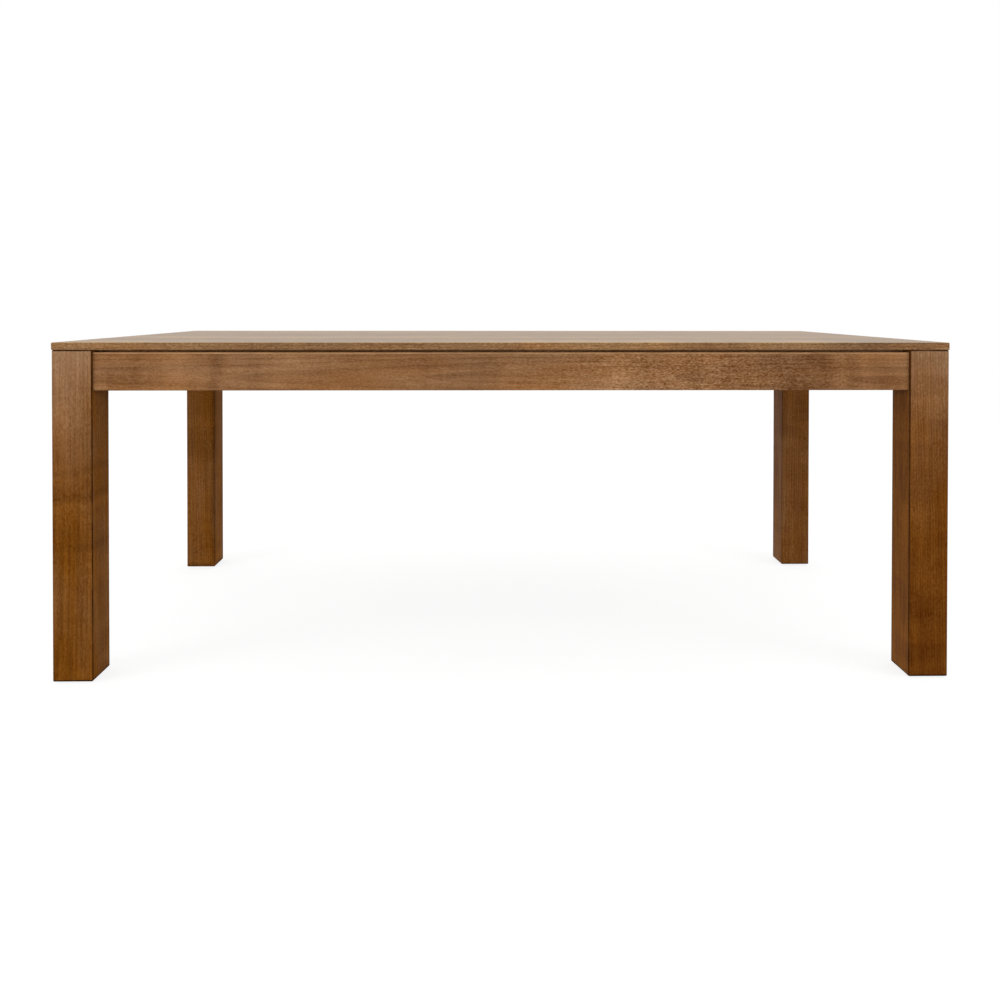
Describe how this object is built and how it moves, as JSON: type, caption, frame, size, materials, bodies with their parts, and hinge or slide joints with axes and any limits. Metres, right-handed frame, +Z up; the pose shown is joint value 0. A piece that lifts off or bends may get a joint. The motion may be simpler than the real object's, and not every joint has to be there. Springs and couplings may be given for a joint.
{
  "type": "dining table",
  "caption": "Long dining table in brown timber: a thin board top flush with square legs, and aprons set back under a shadow line, held by bolted corner blocks.",
  "frame": {"origin": "on the floor, under the middle of the table top", "axes": "+X along the table to the right, +Y to the back, +Z up; the picture looks along +Y"},
  "size_m": [2, 0.95, 0.755],
  "materials": {
    "top_timber": "satin lacquer",
    "leg_timber": "satin lacquer",
    "apron_timber": "satin lacquer",
    "frame_timber": "planed and stained, no lacquer",
    "dowel_timber": "bare beech",
    "plated_steel": "zinc plated",
    "glide_nylon": "moulded, matt"
  },
  "bodies": {
    "root": {"top_board_1": "top_timber", "top_board_2": "top_timber", "top_board_3": "top_timber", "top_board_4": "top_timber", "top_board_5": "top_timber", "top_board_6": "top_timber", "top_board_7": "top_timber", "front_left_leg": "leg_timber", "front_right_leg": "leg_timber", "back_left_leg": "leg_timber", "back_right_leg": "leg_timber", "front_apron": "apron_timber", "back_apron": "apron_timber", "left_apron": "apron_timber", "right_apron": "apron_timber", "front_cleat": "frame_timber", "back_cleat": "frame_timber", "left_cleat": "frame_timber", "right_cleat": "frame_timber", "cross_rail_1": "frame_timber", "cross_rail_2": "frame_timber", "cross_rail_3": "frame_timber", "front_left_corner_block": "frame_timber", "front_right_corner_block": "frame_timber", "back_left_corner_block": "frame_timber", "back_right_corner_block": "frame_timber", "rail_dowels": "dowel_timber", "cleat_screws": "plated_steel", "top_screws": "plated_steel", "top_screw_washers": "plated_steel", "block_screws": "plated_steel", "hanger_bolts": "plated_steel", "bolt_washers": "plated_steel", "bolt_nuts": "plated_steel", "glide_nails": "plated_steel", "front_left_glide": "glide_nylon", "front_right_glide": "glide_nylon", "back_left_glide": "glide_nylon", "back_right_glide": "glide_nylon"}
  },
  "joints": []
}
